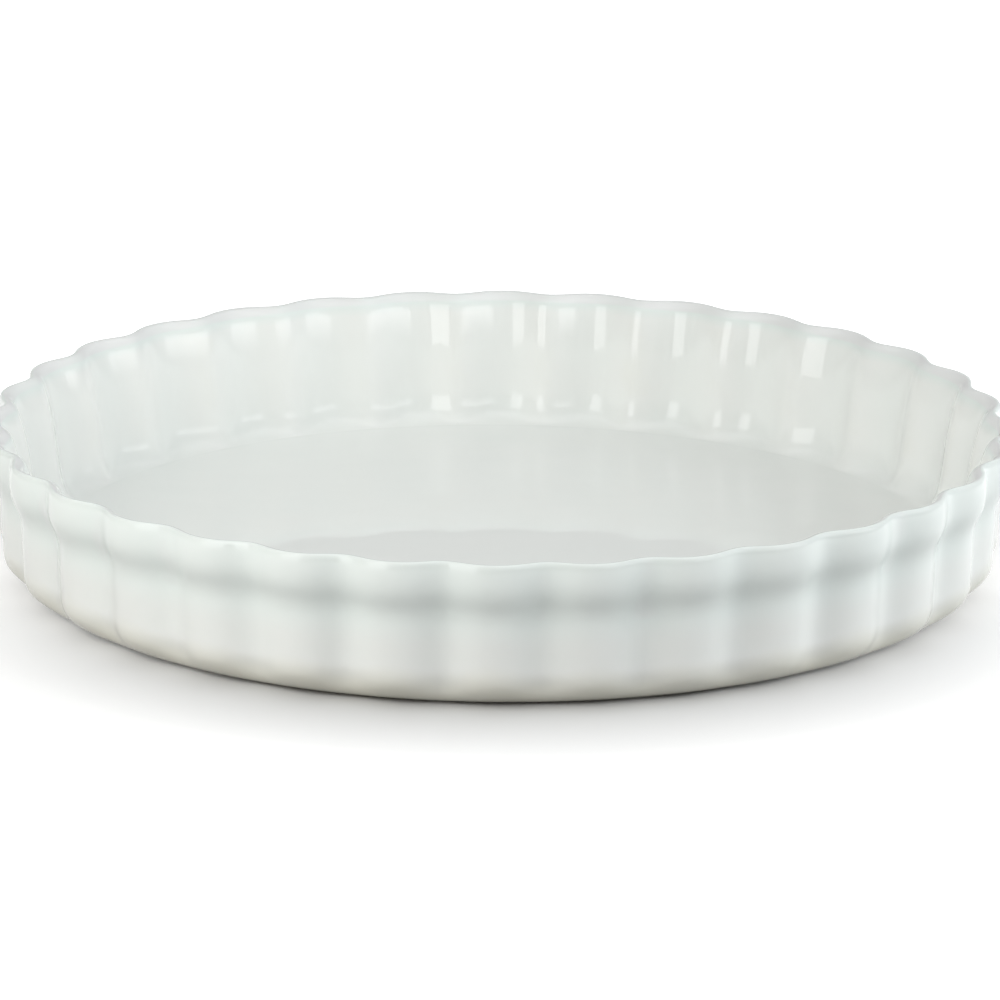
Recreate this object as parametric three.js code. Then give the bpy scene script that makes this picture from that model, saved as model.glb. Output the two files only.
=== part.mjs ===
// Fluted tart dish in white glazed stoneware: a pressed clay body, the glaze coat over everything that
// shows, and a patch of glaze in the recess under the floor. The foot ring between the two glazes is dry.
// Millimetres, +Z up. The origin is on the table, at the centre of the foot ring.
import * as THREE from 'three';
import { mergeVertices } from 'three/addons/utils/BufferGeometryUtils.js';

// Overall size, measured over the crests of the flutes and from the table to the top of the rim.
const RIM_DIAMETER = 280;
const DISH_HEIGHT = 41;

// Flutes pressed into the wall: crest to crease, and how much broader the crests are than the creases.
const FLUTE_COUNT = 32;
const FLUTE_DEPTH = 3.2;
const CREST_BREADTH = 0.22;

// Flared lip above a drawn-in neck.
const LIP_DROP = 3.6; // from the top of the rim down to the lip's widest line
const LIP_ROUND = 2.3; // how far the lip rounds in above that line
const NECK_DROP = 15; // from the top of the rim down to the neck
const NECK_DEPTH = 2.9; // how far the neck lies inside the lip
const RIM_LAND = 1.4; // width of the flat top of the rim

// Wall and heel.
const WALL_TAPER = 1; // how far the wall draws in from the neck to the heel
const HEEL_HEIGHT = 11;
const HEEL_WIDTH = 10.6;
const FLUTE_FOOT = 7.5; // height above the table where the flutes reach their full depth

// Inside of the dish.
const WALL_THICKNESS = 5.1; // where the wall meets the heel
const BELL_DROP = 14; // how far below the rim the mouth starts to open out
const BELL_TAPER = 0.9; // how far the wall opens from the cove to there
const COVE_WIDTH = 10;
const COVE_HEIGHT = 10;
const FLUTE_SEAT = 7.5; // height above the floor where the flutes reach their full depth
const FLOOR_THICKNESS = 4.6;

// Foot ring and glaze.
const FOOT_WIDTH = 8;
const FOOT_HEIGHT = 1.2;
const FOOT_SLOPE = 1.5; // run of the foot ring's sloping inner side
const GLAZE = 0.4;
const GLAZE_LINE = 0.7; // height above the table where the coat stops
const GLAZE_MARGIN = 3; // bare clay between the recess's edge and its glaze

// Facets: each flute has a corner on its crease and a flat on its crest.
const STEPS_PER_FLUTE = 5;
const HEEL_STEPS = 2;
const FLARE_STEPS = 3;
const ROLL_STEPS = 2;
const COVE_STEPS = 2;
const RECESS_STEPS = 64;
const WELD = 1e-4; // corners closer than this are one

// Heights and mean radii that follow from those sizes.
const fluteSwing = FLUTE_DEPTH / 2;
const lipRadius = RIM_DIAMETER / 2 - fluteSwing;
const neckRadius = lipRadius - NECK_DEPTH;
const wallRadius = neckRadius - WALL_TAPER;
const footRadius = wallRadius - HEEL_WIDTH;
const lipHeight = DISH_HEIGHT - LIP_DROP;
const neckHeight = DISH_HEIGHT - NECK_DROP;
const bellHeight = DISH_HEIGHT - BELL_DROP;
const floorHeight = FOOT_HEIGHT + FLOOR_THICKNESS;
const coveHeight = floorHeight + COVE_HEIGHT;
const coveRadius = wallRadius - WALL_THICKNESS;
const floorRadius = coveRadius - COVE_WIDTH;
const landRadius = lipRadius - LIP_ROUND;
const mouthRadius = landRadius - RIM_LAND;

// Share of the full flute at a height: none below the first height, all of it above the second.
const fluteShare = (height, none, full) => THREE.MathUtils.smoothstep(height, none, full);

// One flute pattern round the dish, from -1 in a crease to 1 on a crest.
function flutePattern(angle) {
  const swing = Math.cos(angle * FLUTE_COUNT);
  return swing + CREST_BREADTH * (1 - swing * swing);
}

// Glazed surface as a section in radius and height, from the glaze line on the heel, up the outside,
// over the rim and down the inside to the edge of the flat floor.
function glazedSection() {
  const quarter = Math.PI / 2;
  const neck = new THREE.Vector2(neckRadius, neckHeight);
  const lip = new THREE.Vector2(lipRadius, lipHeight);
  const mouth = new THREE.Vector2(mouthRadius, DISH_HEIGHT);
  const bell = new THREE.Vector2(coveRadius + BELL_TAPER, bellHeight);
  const glazeAngle = Math.acos(1 - GLAZE_LINE / HEEL_HEIGHT) - quarter;
  const lipRise = (lipHeight - neckHeight) / 2;
  const heel = new THREE.EllipseCurve(footRadius, HEEL_HEIGHT, HEEL_WIDTH, HEEL_HEIGHT, glazeAngle, 0);
  const flare = new THREE.CubicBezierCurve(
    neck,
    neck.clone().setY(neckHeight + lipRise),
    lip.clone().setY(lipHeight - lipRise),
    lip,
  );
  const roll = new THREE.EllipseCurve(landRadius, lipHeight, LIP_ROUND, LIP_DROP, 0, quarter);
  const cove = new THREE.EllipseCurve(floorRadius, coveHeight, COVE_WIDTH, COVE_HEIGHT, 0, -quarter, true);

  const outside = [
    ...heel.getPoints(HEEL_STEPS),
    ...flare.getPoints(FLARE_STEPS),
    ...roll.getPoints(ROLL_STEPS).slice(1),
  ];
  const inside = [mouth, bell, ...cove.getPoints(COVE_STEPS)];
  const withFlutes = (points, none, full) =>
    points.map((point) => ({ point, share: fluteShare(point.y, none, full) }));
  return [
    ...withFlutes(outside, GLAZE_LINE, FLUTE_FOOT),
    ...withFlutes(inside, floorHeight, floorHeight + FLUTE_SEAT),
  ];
}

// The same section moved into the clay by the glaze's thickness, square to the surface at each point.
function claySection(section) {
  const floorCentre = new THREE.Vector2(0, floorHeight);
  const line = [...section.map(({ point }) => point), floorCentre];
  return section.map(({ point, share }, index) => {
    const isFloorEdge = index === section.length - 1;
    const before = line[isFloorEdge ? index : Math.max(index - 1, 0)];
    const along = new THREE.Vector2().subVectors(line[index + 1], before).normalize();
    const inward = new THREE.Vector2(-along.y, along.x);
    return { point: point.clone().addScaledVector(inward, GLAZE), share };
  });
}

const plain = (radius, height) => ({ point: new THREE.Vector2(radius, height), share: 0 });

// Revolves a section that starts and ends on the axis, and presses the flutes into it.
function flutedRevolve(section) {
  const steps = FLUTE_COUNT * STEPS_PER_FLUTE;
  const crease = Math.PI / FLUTE_COUNT;
  const lathe = new THREE.LatheGeometry(section.map(({ point }) => point), steps, crease);
  const position = lathe.getAttribute('position');
  for (let index = 0; index < position.count; index += 1) {
    const { point, share } = section[index % section.length];
    const angle = crease + (Math.floor(index / section.length) / steps) * Math.PI * 2;
    const radius = point.x + fluteSwing * share * flutePattern(angle);
    position.setXYZ(index, radius * Math.sin(angle), point.y, radius * Math.cos(angle));
  }
  lathe.setIndex(facets(position, section.length, steps));
  return closedAndUpright(lathe);
}

// Divides each four-cornered facet along its shorter diagonal, whichever way its section runs, so that
// the clay and the glaze on it have the same facets.
function facets(position, rows, steps) {
  const corner = (index) => new THREE.Vector3().fromBufferAttribute(position, index);
  const gap = (first, second) => corner(first).distanceTo(corner(second));
  const corners = [];
  for (let step = 0; step < steps; step += 1) {
    for (let row = 0; row < rows - 1; row += 1) {
      const a = step * rows + row;
      const b = a + rows;
      const c = b + 1;
      const d = a + 1;
      corners.push(...(gap(b, d) < gap(a, c) ? [a, b, d, b, c, d] : [a, b, c, a, c, d]));
    }
  }
  return corners;
}

// Welds a revolved surface along its seam and on its axis, and stands its axis up along Z.
function closedAndUpright(lathe) {
  lathe.deleteAttribute('normal');
  lathe.deleteAttribute('uv');
  const welded = mergeVertices(lathe, WELD);
  const corners = welded.getIndex().array;
  const kept = [];
  for (let first = 0; first < corners.length; first += 3) {
    const [a, b, c] = corners.slice(first, first + 3);
    if (a !== b && b !== c && c !== a) kept.push(a, b, c);
  }
  welded.setIndex(kept);
  welded.rotateX(Math.PI / 2);
  welded.computeVertexNormals();
  return welded;
}

const glazed = glazedSection();
const clay = claySection(glazed);
const footInner = footRadius - FOOT_WIDTH;
const recessRadius = footInner - FOOT_SLOPE;

const bodyGeometry = flutedRevolve([
  plain(0, FOOT_HEIGHT),
  plain(recessRadius, FOOT_HEIGHT),
  plain(footInner, 0),
  plain(footRadius, 0),
  ...clay,
  plain(0, floorHeight - GLAZE),
]);

const coatGeometry = flutedRevolve([
  plain(0, floorHeight - GLAZE),
  ...clay.toReversed(),
  ...glazed,
  plain(0, floorHeight),
]);

const recessGlazeRadius = recessRadius - GLAZE_MARGIN;
const recessGeometry = new THREE.CylinderGeometry(recessGlazeRadius, recessGlazeRadius, GLAZE, RECESS_STEPS);
recessGeometry.rotateX(Math.PI / 2);
recessGeometry.translate(0, 0, FOOT_HEIGHT - GLAZE / 2);

const clayMaterial = new THREE.MeshStandardMaterial({ color: 0xd9d2c3, roughness: 0.85, metalness: 0 });
const coatMaterial = new THREE.MeshStandardMaterial({ color: 0xe6e9e6, roughness: 0.08, metalness: 0 });
const recessMaterial = new THREE.MeshStandardMaterial({ color: 0xe2e4df, roughness: 0.12, metalness: 0 });

const dish = new THREE.Group();
for (const [name, geometry, material] of [
  ['stoneware_body', bodyGeometry, clayMaterial],
  ['glaze_coat', coatGeometry, coatMaterial],
  ['underside_glaze', recessGeometry, recessMaterial],
]) {
  const mesh = new THREE.Mesh(geometry, material);
  mesh.name = name;
  dish.add(mesh);
}

export default dish;
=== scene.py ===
import math

import bmesh
import bpy
from mathutils import Matrix, Vector
from mathutils.geometry import interpolate_bezier


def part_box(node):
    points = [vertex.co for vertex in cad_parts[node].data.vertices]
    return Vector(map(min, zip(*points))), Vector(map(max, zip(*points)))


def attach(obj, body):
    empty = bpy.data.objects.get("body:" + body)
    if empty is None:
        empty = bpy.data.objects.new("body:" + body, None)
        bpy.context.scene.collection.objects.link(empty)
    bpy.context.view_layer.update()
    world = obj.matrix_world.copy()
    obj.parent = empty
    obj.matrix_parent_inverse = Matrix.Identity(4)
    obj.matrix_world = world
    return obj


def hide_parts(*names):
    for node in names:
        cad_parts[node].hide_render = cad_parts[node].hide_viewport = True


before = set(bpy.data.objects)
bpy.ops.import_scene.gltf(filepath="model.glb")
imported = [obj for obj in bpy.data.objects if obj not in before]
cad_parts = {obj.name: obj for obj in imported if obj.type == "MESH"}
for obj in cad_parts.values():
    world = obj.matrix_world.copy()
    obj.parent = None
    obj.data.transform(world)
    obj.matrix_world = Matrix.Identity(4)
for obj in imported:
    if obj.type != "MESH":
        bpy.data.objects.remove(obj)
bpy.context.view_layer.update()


# Stoneware body. The dish itself is one pressing of buff clay between two fluted moulds, fired hard.
# It carries the floor, the fluted wall and the flared lip, and shows only where its foot ring and the
# edge of the recess under the floor were wiped clean of glaze before firing.
MM = 0.001
FLUTES = 32
FLUTE_SWING = 1.6
FLUTE_STEPS = 16
CREST_BREADTH = 0.22
GLAZE_THICKNESS = 0.4
FOOT_ROUNDING = 0.7
CLEARANCE = 0.01
HEEL_STEPS, WALL_STEPS, FLARE_STEPS, ROLL_STEPS = 16, 6, 14, 10
EDGE_STEPS, BELL_STEPS, COVE_STEPS = 11, 18, 16
POLE_MERGE, SEAM_MERGE = 1e-7, 1e-6
DARK_BUFF = (0.62, 0.55, 0.45)
PALE_BUFF = (0.74, 0.68, 0.58)

# Mean radii of the section in millimetres, before the flutes are pressed.
_, coat_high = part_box("glaze_coat")
lip = coat_high.x / MM - FLUTE_SWING - CLEARANCE
crown = lip - 1.2
mouth = lip - 4.8
neck = lip - 3.4
wall = neck - 0.5
foot = wall - 10.6
foot_inner = foot - 8.0
recess = foot_inner - 1.5
glaze_foot = foot + 3.72
cove = wall - 5.4
floor_edge = cove - 6.7
flute_seat = floor_edge + 5.0
mid_floor, inner_floor = 90.0, 45.0

# Heights of the section in millimetres above the table.
rim_top = coat_high.z / MM
mouth_height = rim_top - 3.3
lip_height = rim_top - 4.5
neck_height = 22.5
heel_height = 11.0
flute_foot = 7.5
glaze_line = 0.7
floor_height = 5.8
cove_height = floor_height + 8.7
recess_height = 1.2


def curve(start, first_pull, second_pull, end, count):
    """Points of radius and height along one curve of the section, after its start."""
    points = interpolate_bezier(Vector(start), Vector(first_pull), Vector(second_pull), Vector(end), count + 1)
    return [point.to_2d() for point in points[1:]]


def glazed_line():
    """The glazed surface in section: up the outside from the glaze line, over the lip and in to the floor."""
    rise = (lip_height - neck_height) / 2
    line = [Vector((glaze_foot, glaze_line))]
    # Each row is one curve: what its start and its end are pulled towards, its end, and its number of steps.
    for first_pull, second_pull, end, count in (
        ((foot + 7.86, 2.31), (wall, 6.42), (wall, heel_height), HEEL_STEPS),
        ((wall, 14.0), (neck, 18.5), (neck, neck_height), WALL_STEPS),
        ((neck, neck_height + rise), (lip, lip_height - rise), (lip, lip_height), FLARE_STEPS),
        ((lip, rim_top - 1.4), (lip - 0.4, rim_top), (crown, rim_top), ROLL_STEPS),
        ((lip - 2.6, rim_top), (lip - 4.2, rim_top - 1.3), (mouth, mouth_height), EDGE_STEPS),
        ((lip - 7.6, rim_top - 11.3), (cove + 1.15, cove_height + 7.0), (cove, cove_height), BELL_STEPS),
        ((cove - 1.1, cove_height - 6.5), (floor_edge + 3.5, floor_height), (floor_edge, floor_height), COVE_STEPS),
    ):
        line += curve(line[-1], first_pull, second_pull, end, count)
    return line + [Vector((radius, floor_height)) for radius in (mid_floor, inner_floor, 0.0)]


def set_back(line, depth):
    """The same section moved into the clay by a depth, square to the surface at each point."""
    moved = []
    for index, point in enumerate(line):
        along = line[min(index + 1, len(line) - 1)] - line[max(index - 1, 0)]
        moved.append(point + Vector((-along.y, along.x)).normalized() * depth)
    moved[-1].x = 0.0
    return moved


def smooth_step(value, low, high):
    """Share from 0 at the first value to 1 at the second, easing at both ends."""
    share = min(max((value - low) / (high - low), 0.0), 1.0)
    return share * share * (3.0 - 2.0 * share)


def fluted_share(line, inside_from):
    """Share of the full flute at each point: it fades out down the heel, and inside across the cove."""
    outside = [smooth_step(point[1], 0.0, flute_foot) for point in line[:inside_from]]
    inside = [smooth_step(point[0], floor_edge, flute_seat) for point in line[inside_from:]]
    return outside + inside


def draw_section(mesh, line):
    """Draws a section as a wire from the axis to the axis, and returns its vertices."""
    wire = [mesh.verts.new((point[0] * MM, 0.0, point[1] * MM)) for point in line]
    for first, second in zip(wire, wire[1:]):
        mesh.edges.new((first, second))
    return wire


def flute_at(vert):
    """Place in the flute pattern, from -1 in a crease to 1 on a crest, as seen from outside."""
    swing = math.cos(FLUTES * math.atan2(vert.co.y, vert.co.x))
    return swing + CREST_BREADTH * (1.0 - swing * swing)


def spin_flute(mesh, share):
    """Spins the drawn section through one flute, and presses that flute by each ring's share of its depth."""
    bmesh.ops.spin(mesh, geom=mesh.verts[:] + mesh.edges[:], cent=(0, 0, 0), axis=(0, 0, 1),
                   angle=math.tau / FLUTES, steps=FLUTE_STEPS, use_merge=False, use_duplicate=False)
    bmesh.ops.remove_doubles(mesh, verts=mesh.verts[:], dist=POLE_MERGE)
    for vert in mesh.verts:
        out = Vector((vert.co.x, vert.co.y, 0.0)).normalized()
        vert.co += out * (FLUTE_SWING * MM * vert[share] * flute_at(vert))


def repeat_round(mesh):
    """Repeats the finished flute round the dish, and closes the seams and the poles."""
    bmesh.ops.spin(mesh, geom=mesh.verts[:] + mesh.edges[:] + mesh.faces[:], cent=(0, 0, 0), axis=(0, 0, 1),
                   angle=math.tau - math.tau / FLUTES, steps=FLUTES - 1, use_merge=False, use_duplicate=True)
    bmesh.ops.remove_doubles(mesh, verts=mesh.verts[:], dist=SEAM_MERGE)
    bmesh.ops.recalc_face_normals(mesh, faces=mesh.faces[:])


def finished_piece(name, mesh, material):
    """Makes an object of a finished mesh, smooth all over."""
    for face in mesh.faces:
        face.smooth = True
    data = bpy.data.meshes.new(name)
    mesh.to_mesh(data)
    mesh.free()
    data.materials.append(material)
    piece = bpy.data.objects.new(name, data)
    bpy.context.scene.collection.objects.link(piece)
    return piece


def new_material(name):
    """A new material, with its nodes, the function that links them, and its shader."""
    material = bpy.data.materials.new(name)
    material.use_nodes = True
    nodes = material.node_tree.nodes
    return material, nodes, material.node_tree.links.new, nodes["Principled BSDF"]


def object_place(nodes):
    """Places on the piece, in metres from the dish's origin."""
    return nodes.new("ShaderNodeTexCoord").outputs["Object"]


def clouds(nodes, link, place, scale, detail):
    """Soft random clouds, from 0 to 1."""
    noise = nodes.new("ShaderNodeTexNoise")
    noise.inputs["Scale"].default_value = scale
    noise.inputs["Detail"].default_value = detail
    link(place, noise.inputs["Vector"])
    return noise.outputs["Fac"]


def carried(nodes, link, value, start, end):
    """A value carried from one pair of ends to another, and held at the ends."""
    span = nodes.new("ShaderNodeMapRange")
    span.inputs["From Min"].default_value, span.inputs["From Max"].default_value = start
    span.inputs["To Min"].default_value, span.inputs["To Max"].default_value = end
    link(value, span.inputs["Value"])
    return span.outputs["Result"]


def tinted(nodes, link, value, *stops):
    """Colours along a value, each given with its place on it."""
    ramp = nodes.new("ShaderNodeValToRGB")
    elements = ramp.color_ramp.elements
    for element, (place, colour) in ((elements[0], stops[0]), (elements[1], stops[-1])):
        element.position = place
        element.color = (*colour, 1)
    for place, colour in stops[1:-1]:
        elements.new(place).color = (*colour, 1)
    link(value, ramp.inputs["Fac"])
    return ramp.outputs["Color"]


def rippled(nodes, link, shader, height, strength, distance):
    """Gives a shader a fine relief, up to a distance in metres."""
    relief = nodes.new("ShaderNodeBump")
    relief.inputs["Strength"].default_value = strength
    relief.inputs["Distance"].default_value = distance
    link(height, relief.inputs["Height"])
    link(relief.outputs["Normal"], shader.inputs["Normal"])


def bare_clay():
    """Buff fired clay: matt and gritty, with fine dark specks and a slightly uneven firing colour."""
    material, nodes, link, shader = new_material("bare_clay")
    place = object_place(nodes)
    firing = clouds(nodes, link, place, 28.0, 4.0)
    buff = tinted(nodes, link, firing, (0.3, DARK_BUFF), (0.7, PALE_BUFF))
    grit = nodes.new("ShaderNodeTexVoronoi")
    grit.inputs["Scale"].default_value = 900.0
    link(place, grit.inputs["Vector"])
    speckled = nodes.new("ShaderNodeMix")
    speckled.data_type = "RGBA"
    speckled.blend_type = "MULTIPLY"
    speckled.inputs["Factor"].default_value = 1.0
    link(buff, speckled.inputs["A"])
    link(carried(nodes, link, grit.outputs["Distance"], (0.08, 0.2), (0.72, 1.0)), speckled.inputs["B"])
    link(speckled.outputs["Result"], shader.inputs["Base Color"])
    rippled(nodes, link, shader, clouds(nodes, link, place, 1400.0, 3.0), 0.5, 0.0002)
    shader.inputs["Roughness"].default_value = 0.85
    return material


glazed = glazed_line()
clay = set_back(glazed, GLAZE_THICKNESS)
inside_from = 1 + HEEL_STEPS + WALL_STEPS + FLARE_STEPS + ROLL_STEPS
flute_shares = fluted_share(clay, inside_from)

body_mesh = bmesh.new()
body_share = body_mesh.verts.layers.float.new("flute")
underside = [(radius, recess_height) for radius in (0.0, mid_floor, recess)] + [(foot_inner, 0.0), (foot, 0.0)]
body_wire = draw_section(body_mesh, underside + clay)
for vert, share in zip(body_wire[len(underside):], flute_shares):
    vert[body_share] = share
foot_corners = body_wire[2:len(underside)]
bmesh.ops.bevel(body_mesh, geom=foot_corners, offset=FOOT_ROUNDING * MM, offset_type="OFFSET", segments=4,
                profile=0.5, affect="VERTICES", material=-1)
spin_flute(body_mesh, body_share)
repeat_round(body_mesh)
body = finished_piece("stoneware_body_fired", body_mesh, bare_clay())
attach(body, "root")
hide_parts("stoneware_body")


# Glaze coat. The whole dish is dipped in white glaze and the foot wiped, so one skin of fired glass runs
# over floor, wall and lip. It is less than half a millimetre thick, pools in the creases and in the cove,
# and thins down the heel to a small rounded bead. Its colour also carries painted light: painted shade as
# cooler, darker glaze under the lip, in the creases and round the rim's inner edge, and painted warm bounce
# light from the table in the cream of the thin glaze down the heel.
BEAD_LENGTH = 0.3
BEAD_STEPS = 5
# Shares of the glaze's depth. The shares under the lip, in the creases and at the mouth also paint shade.
WALL_DEPTH, UNDER_LIP_SHADE = 0.45, 0.4
FLOOR_DEPTH, COVE_DEPTH, MOUTH_SHADE = 0.42, 0.12, 0.6
CREASE_POOL_AND_SHADE, CLOUD_DEPTH = 0.05, 0.1
GLAZE_IOR = 1.5
# Glaze colours along its depth: cream where thin, which down the heel also paints warm bounce light from the table;
# even white; cooler where pooled, which under the lip and in the creases also paints shade; greyer at the rim's
# inner edge, painted shade.
THIN_GLAZE_AND_BOUNCE = (0.80, 0.785, 0.69)
EVEN_GLAZE = (0.835, 0.85, 0.83)
POOLED_GLAZE_AND_SHADE = (0.775, 0.83, 0.808)
RIM_SHADE_GLAZE = (0.785, 0.797, 0.795)

coat_mesh = bmesh.new()
coat_share = coat_mesh.verts.layers.float.new("flute")
pool_and_shade = coat_mesh.verts.layers.float.new("pool_and_shade")
side_of = coat_mesh.verts.layers.float.new("side")
up_heel = (glazed[1] - glazed[0]).normalized() * BEAD_LENGTH
bead = curve(clay[0], clay[0] - up_heel, glazed[0] - up_heel, glazed[0], BEAD_STEPS)[:-1]
coat_wire = draw_section(coat_mesh, clay[::-1] + bead + glazed)
for vert, share in zip(coat_wire, flute_shares[::-1] + [0.0] * len(bead) + flute_shares):
    vert[coat_share] = share


def glaze_depth_and_shade(index, point):
    """How thick the glaze lies at a point of the section, before the flutes, with painted shade added under the lip
    and round the rim's inner edge: 0 thin, 1 at the rim's edge.
    """
    if index < inside_from:
        # Down the heel the glaze thins to cream, partly thin glaze over the clay and partly painted warm bounce
        # light from the table.
        up_the_heel = smooth_step(point[1], glaze_line, heel_height + 4.0)
        # Painted shade: cooler, darker glaze in the neck under the lip.
        shade_under_lip = smooth_step(point[1], 16.0, 25.0)
        return up_the_heel * (WALL_DEPTH + UNDER_LIP_SHADE * shade_under_lip)
    in_cove = smooth_step(point[1], cove_height + 3.0, floor_height + 1.0)
    # Painted shade: greyer glaze round the rim's inner edge.
    shade_at_mouth = smooth_step(point[1], rim_top - 5.0, rim_top - 1.0)
    return FLOOR_DEPTH + COVE_DEPTH * in_cove + MOUTH_SHADE * shade_at_mouth


for index, (vert, point) in enumerate(zip(coat_wire[-len(glazed):], glazed)):
    vert[side_of] = 1.0 if index < inside_from else -1.0
    vert[pool_and_shade] = glaze_depth_and_shade(index, point)
spin_flute(coat_mesh, coat_share)
for vert in coat_mesh.verts:
    # Creases seen from each side turn cooler and darker, pooled glaze and painted shade; crests turn a little
    # creamier.
    crease = -flute_at(vert) * vert[side_of] * vert[coat_share]
    vert[pool_and_shade] = min(max(vert[pool_and_shade] + CREASE_POOL_AND_SHADE * crease, 0.0), 1.0)
repeat_round(coat_mesh)


def white_glaze():
    """Glossy white glaze: cream where it is thin, cooler where it pools, with a faintly wavy skin. Its colour also
    paints light: cooler, darker glaze for the shade under the lip and in the creases, greyer glaze for the shade
    round the rim's inner edge, and cream down the heel for warm bounce light from the table.
    """
    material, nodes, link, shader = new_material("white_glaze")
    place = object_place(nodes)
    # The glaze's depth, which also carries the painted shade and the painted warm bounce light.
    depth = nodes.new("ShaderNodeAttribute")
    depth.attribute_name = "pool_and_shade"
    cloud = clouds(nodes, link, place, 45.0, 3.0)
    lie = nodes.new("ShaderNodeMath")
    lie.operation = "ADD"
    link(depth.outputs["Fac"], lie.inputs[0])
    link(carried(nodes, link, cloud, (0.0, 1.0), (-CLOUD_DEPTH, CLOUD_DEPTH)), lie.inputs[1])
    white = tinted(nodes, link, lie.outputs["Value"], (0.0, THIN_GLAZE_AND_BOUNCE), (0.38, EVEN_GLAZE), (0.9, POOLED_GLAZE_AND_SHADE),
                   (1.0, RIM_SHADE_GLAZE))
    link(white, shader.inputs["Base Color"])
    link(carried(nodes, link, cloud, (0.0, 1.0), (0.012, 0.035)), shader.inputs["Roughness"])
    rippled(nodes, link, shader, clouds(nodes, link, place, 60.0, 1.0), 1.0, 0.00007)
    shader.inputs["IOR"].default_value = GLAZE_IOR
    return material


coat = finished_piece("glaze_coat_fired", coat_mesh, white_glaze())
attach(coat, "root")
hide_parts("glaze_coat")


# Underside glaze. A second patch of the same glaze is brushed into the shallow recess under the floor.
# It keeps clear of the foot ring, and its edge wanders a little as the brush left it.
PATCH_STEPS = 192
EDGE_WAVES = ((0.35, 7, 0.6), (0.22, 17, 2.1), (0.12, 31, 0.0))
THIN_BRUSHED = (0.78, 0.76, 0.69)
FULL_BRUSHED = (0.80, 0.82, 0.79)
patch_low, patch_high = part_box("underside_glaze")
patch_radius = patch_high.x / MM - 0.9
patch_top, patch_bottom = patch_high.z / MM, patch_low.z / MM
patch_middle = 60.0
wander_from = 80.0

patch_mesh = bmesh.new()
patch_edge = curve((patch_radius, patch_top), (patch_radius + 0.5, patch_top), (patch_radius + 0.3, patch_bottom),
                   (patch_radius - 1.2, patch_bottom), 7)
draw_section(patch_mesh, [(0.0, patch_top), (patch_middle, patch_top), (patch_radius, patch_top)] + patch_edge
             + [(patch_middle, patch_bottom), (0.0, patch_bottom)])
bmesh.ops.spin(patch_mesh, geom=patch_mesh.verts[:] + patch_mesh.edges[:], cent=(0, 0, 0), axis=(0, 0, 1),
               angle=math.tau, steps=PATCH_STEPS, use_merge=True, use_duplicate=False)
bmesh.ops.remove_doubles(patch_mesh, verts=patch_mesh.verts[:], dist=POLE_MERGE)
bmesh.ops.recalc_face_normals(patch_mesh, faces=patch_mesh.faces[:])
for vert in patch_mesh.verts:
    turn = math.atan2(vert.co.y, vert.co.x)
    wander = sum(size * math.sin(waves * turn + start) for size, waves, start in EDGE_WAVES)
    reach = Vector((vert.co.x, vert.co.y, 0.0))
    vert.co += reach.normalized() * (wander * MM * smooth_step(reach.length / MM, wander_from, patch_radius))


def brushed_glaze():
    """The same white glaze, brushed on: a little thinner and creamier, with broad brush streaks."""
    material, nodes, link, shader = new_material("brushed_glaze")
    stroke = nodes.new("ShaderNodeMapping")
    stroke.inputs["Scale"].default_value = (12.0, 60.0, 12.0)
    link(object_place(nodes), stroke.inputs["Vector"])
    streak = clouds(nodes, link, stroke.outputs["Vector"], 1.0, 3.0)
    white = tinted(nodes, link, streak, (0.3, THIN_BRUSHED), (0.7, FULL_BRUSHED))
    link(white, shader.inputs["Base Color"])
    link(carried(nodes, link, streak, (0.0, 1.0), (0.08, 0.2)), shader.inputs["Roughness"])
    rippled(nodes, link, shader, streak, 0.6, 0.0003)
    shader.inputs["IOR"].default_value = GLAZE_IOR
    return material


patch = finished_piece("underside_glaze_brushed", patch_mesh, brushed_glaze())
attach(patch, "root")
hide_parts("underside_glaze")


# Studio. The dish stands on a white table between grey cards, which keep its glaze from mirroring white all
# round. Soft lights overhead, to the sides and in front light it. The glaze mirrors two glowing cloths, one
# on each side in front, in place of the side lights, so that its highlights have clean edges.
TABLE_SIZE = 9.0
TABLE_DROP = 0.0001
TABLE_BOUNCE, TABLE_SEEN, TABLE_LIFT = 0.42, 0.6, 0.82
SHADOW_MIDDLE = (0.0, -0.061, 0.0)
SHADOW_STRETCH = (0.8, 1.0, 1.0)
SHADOW_FADE = (0.068, 0.153)
CARD_WIDTH, CARD_HEIGHT = 6.0, 4.0
LEFT_STAND = (-0.32, -0.395, 0.23)
ROOM_LIGHT, ROOM_SEEN = 0.4, 1.0
WHITE = (1.0, 1.0, 1.0)
WARM = (1.0, 0.992, 0.95)
COOL = (0.97, 0.995, 1.0)


def seen_directly(nodes, link, otherwise, seen):
    """A strength with one value for camera, mirror and glass rays, and another for all the rest."""
    path = nodes.new("ShaderNodeLightPath")
    mirror_or_glass = nodes.new("ShaderNodeMath")
    mirror_or_glass.operation = "MAXIMUM"
    link(path.outputs["Is Glossy Ray"], mirror_or_glass.inputs[0])
    link(path.outputs["Is Transmission Ray"], mirror_or_glass.inputs[1])
    either = nodes.new("ShaderNodeMath")
    either.operation = "MAXIMUM"
    link(path.outputs["Is Camera Ray"], either.inputs[0])
    link(mirror_or_glass.outputs["Value"], either.inputs[1])
    return carried(nodes, link, either.outputs["Value"], (0.0, 1.0), (otherwise, seen))


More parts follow.
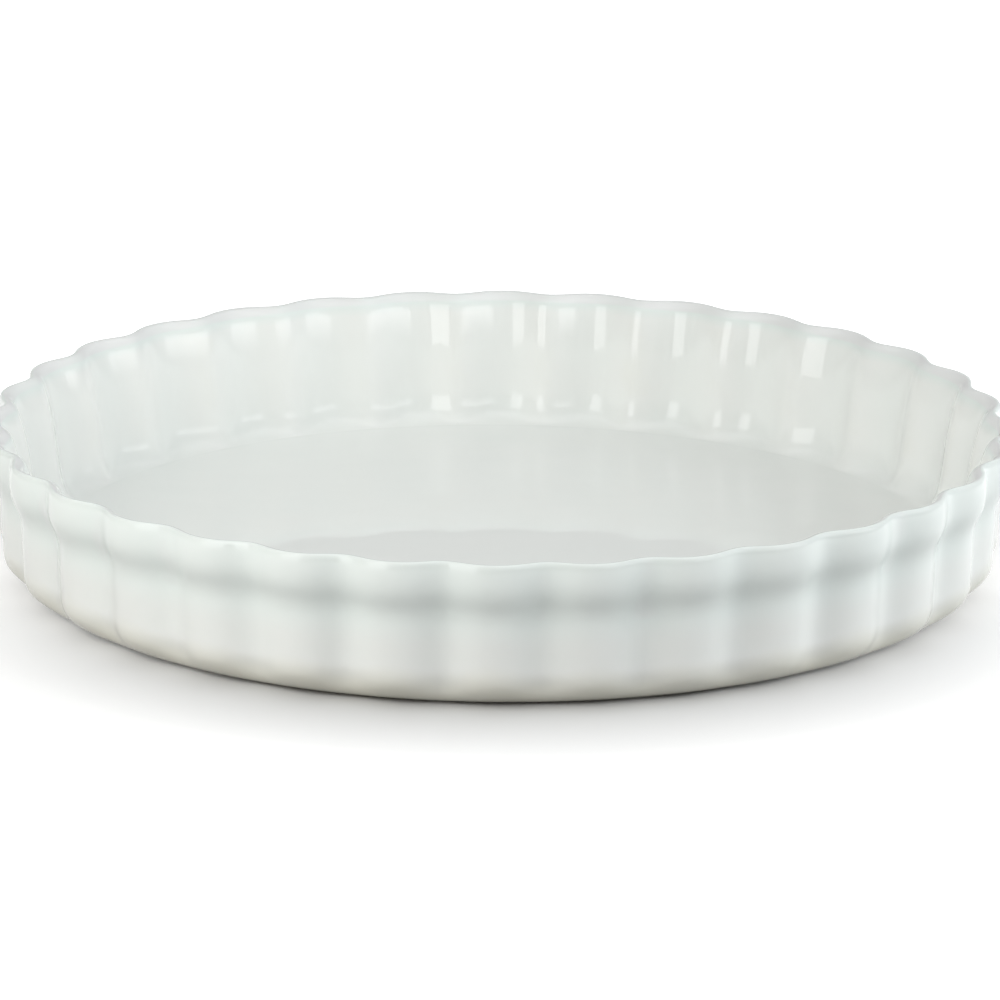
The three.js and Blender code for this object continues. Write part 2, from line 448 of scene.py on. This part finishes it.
def table_top():
    """White table that keeps the dish's shadow close by, and shows white from a hand's breadth away. Its added
    white is held back in a stretched ring round the dish, which paints part of that shadow.
    """
    material, nodes, link, shader = new_material("white_table")
    nodes.remove(shader)
    matt = nodes.new("ShaderNodeBsdfDiffuse")
    link(seen_directly(nodes, link, TABLE_BOUNCE, TABLE_SEEN), matt.inputs["Color"])
    alike = nodes.new("ShaderNodeVectorMath")
    alike.operation = "ABSOLUTE"
    link(object_place(nodes), alike.inputs[0])
    round_dish = nodes.new("ShaderNodeMapping")
    round_dish.inputs["Location"].default_value = SHADOW_MIDDLE
    round_dish.inputs["Scale"].default_value = SHADOW_STRETCH
    link(alike.outputs["Vector"], round_dish.inputs["Vector"])
    away = nodes.new("ShaderNodeVectorMath")
    away.operation = "LENGTH"
    link(round_dish.outputs["Vector"], away.inputs[0])
    # Painted shadow: the added white grows with distance from a point in front of the dish, so the table stays grey
    # in a ring round it, on top of the shadow it really casts.
    shown = nodes.new("ShaderNodeMath")
    shown.operation = "MULTIPLY"
    link(carried(nodes, link, away.outputs["Value"], SHADOW_FADE, (0.0, TABLE_LIFT)), shown.inputs[0])
    link(seen_directly(nodes, link, 0.0, 1.0), shown.inputs[1])
    lift = nodes.new("ShaderNodeEmission")
    lift.inputs["Color"].default_value = (*WHITE, 1)
    link(shown.outputs["Value"], lift.inputs["Strength"])
    both = nodes.new("ShaderNodeAddShader")
    link(matt.outputs["BSDF"], both.inputs[0])
    link(lift.outputs["Emission"], both.inputs[1])
    link(both.outputs["Shader"], nodes["Material Output"].inputs["Surface"])
    material.cycles.emission_sampling = "NONE"
    return material


def studio_sheet(name, width, height, place, facing, material):
    """A flat sheet of the studio, such as the table or a card, that isn't part of the dish."""
    mesh = bmesh.new()
    bmesh.ops.create_grid(mesh, x_segments=1, y_segments=1, size=0.5)
    bmesh.ops.scale(mesh, verts=mesh.verts[:], vec=(width, height, 1))
    turn = Vector(facing).to_track_quat("Z", "Y").to_matrix()
    bmesh.ops.rotate(mesh, verts=mesh.verts[:], cent=(0, 0, 0), matrix=turn)
    bmesh.ops.translate(mesh, verts=mesh.verts[:], vec=place)
    sheet = finished_piece(name, mesh, material)
    return sheet


studio_sheet("table", TABLE_SIZE, TABLE_SIZE, (0, 0, -TABLE_DROP), (0, 0, 1), table_top())


def grey_card(name, grey, glow):
    """Grey card, with the even glow that light from the room gives it."""
    material, nodes, link, shader = new_material(name)
    shader.inputs["Base Color"].default_value = (grey, grey, grey, 1)
    shader.inputs["Roughness"].default_value = 0.9
    shader.inputs["Emission Color"].default_value = (*WHITE, 1)
    shader.inputs["Emission Strength"].default_value = glow
    material.cycles.emission_sampling = "NONE"
    return material


for name, place, facing, grey, glow in (
    ("front_card", (0.0, -3.0, 2.0), (0, 1, 0), 0.1, 0.0),
    ("back_card", (0.0, 2.6, 2.0), (0, -1, 0), 0.3, 0.45),
    ("left_card", (-2.6, 0.0, 2.0), (1, 0, 0), 0.3, 0.0),
    ("right_card", (2.6, 0.0, 2.0), (-1, 0, 0), 0.3, 0.0),
):
    card = studio_sheet(name, CARD_WIDTH, CARD_HEIGHT, place, facing, grey_card(name + "_grey", grey, glow))
    card.visible_camera = False


def glowing_cloth(name, glow, dim_height, full_height):
    """White cloth with light behind it, dark up to one height and at its full glow from another."""
    material, nodes, link, shader = new_material(name)
    split = nodes.new("ShaderNodeSeparateXYZ")
    link(object_place(nodes), split.inputs["Vector"])
    fade = carried(nodes, link, split.outputs["Z"], (dim_height, full_height), (0.0, glow))
    link(fade, shader.inputs["Emission Strength"])
    shader.inputs["Emission Color"].default_value = (*WHITE, 1)
    material.cycles.emission_sampling = "NONE"
    return material


for name, width, height, place, facing, glow, dim_height, full_height in (
    ("left_gleam", 0.26, 0.42, LEFT_STAND, (0.32, 0.395, -0.05), 1.95, -0.1, 0.0),
    ("right_gleam", 0.72, 0.15, (0.51, -0.235, 0.19), (-0.597, 0.805, -0.15), 1.65, 0.11, 0.22),
):
    cloth = glowing_cloth(name + "_cloth", glow, dim_height, full_height)
    gleam = studio_sheet(name, width, height, place, facing, cloth)
    gleam.visible_camera = gleam.visible_diffuse = gleam.visible_shadow = False


def soft_light(name, width, height, place, aim, radiance, tint, spread):
    """A rectangular soft light of a given brightness and spread in degrees, turned towards a point."""
    lamp = bpy.data.lights.new(name, "AREA")
    lamp.shape = "RECTANGLE"
    lamp.size, lamp.size_y = width, height
    lamp.energy = radiance * math.pi * width * height
    lamp.color = tint
    lamp.spread = math.radians(spread)
    light = bpy.data.objects.new(name, lamp)
    light.location = place
    light.rotation_euler = (Vector(aim) - Vector(place)).to_track_quat("-Z", "Y").to_euler()
    light.visible_camera = False
    bpy.context.scene.collection.objects.link(light)
    return light


for name, width, height, place, aim, radiance, tint, spread, mirrored in (
    ("overhead_light", 4.0, 4.0, (0.0, 0.3, 1.9), (0, 0, 0), 0.17, WHITE, 180, True),
    ("left_light", 0.31, 0.42, LEFT_STAND, (0, 0, 0.18), 0.68, WARM, 110, False),
    ("right_light", 1.0, 0.22, (0.70, -0.25, 0.46), (0, 0, 0.15), 1.3, COOL, 180, False),
    ("left_front_fill", 0.7, 0.5, (-0.62, -0.42, 0.44), (0, 0, 0.03), 2.65, WARM, 180, False),
    ("right_fill", 1.0, 0.6, (0.95, -0.05, 0.30), (0, 0, 0.05), 3.44, COOL, 180, False),
    ("front_fill", 1.4, 0.7, (0.0, -1.3, 0.9), (0, 0, 0.03), 1.87, WHITE, 180, False),
):
    soft = soft_light(name, width, height, place, aim, radiance, tint, spread)
    soft.visible_glossy = mirrored

world = bpy.data.worlds.new("studio")
world.use_nodes = True
world.cycles.sampling_method = "NONE"
bpy.context.scene.world = world
sky = world.node_tree.nodes["Background"]
sky.inputs["Color"].default_value = (*WHITE, 1)
sky_link = world.node_tree.links.new
room_light = seen_directly(world.node_tree.nodes, sky_link, ROOM_LIGHT, ROOM_SEEN)
sky_link(room_light, sky.inputs["Strength"])
bpy.context.scene.view_settings.view_transform = "Standard"


# Camera. A long lens looks down on the dish from the front, a little to the right of a flute's crest and
# with a slight tilt, as a hand-levelled tripod leaves it.
ELEVATION = math.radians(16.025)
AROUND = math.radians(0.364)
TILT = math.radians(0.48)
DISTANCE = 2.6811
SENSOR_WIDTH = 36.0
FOCAL_WIDTHS = 9.8582
turned_about = Vector((0, 0, 0.020))
looked_at = Vector((0.00032, 0.0, 0.01877))

lens = bpy.data.cameras.new("studio_camera")
lens.sensor_width = SENSOR_WIDTH
lens.lens = SENSOR_WIDTH * FOCAL_WIDTHS
lens.clip_start, lens.clip_end = 0.1, 50.0
camera = bpy.data.objects.new("studio_camera", lens)
level = math.cos(ELEVATION)
towards_lens = Vector((math.sin(AROUND) * level, -math.cos(AROUND) * level, math.sin(ELEVATION)))
stand = turned_about + towards_lens * DISTANCE
aimed = (looked_at - stand).to_track_quat("-Z", "Y")
camera.rotation_mode = "QUATERNION"
camera.rotation_quaternion = aimed @ Matrix.Rotation(TILT, 3, "Z").to_quaternion()
camera.location = stand
bpy.context.scene.collection.objects.link(camera)
bpy.context.scene.camera = camera
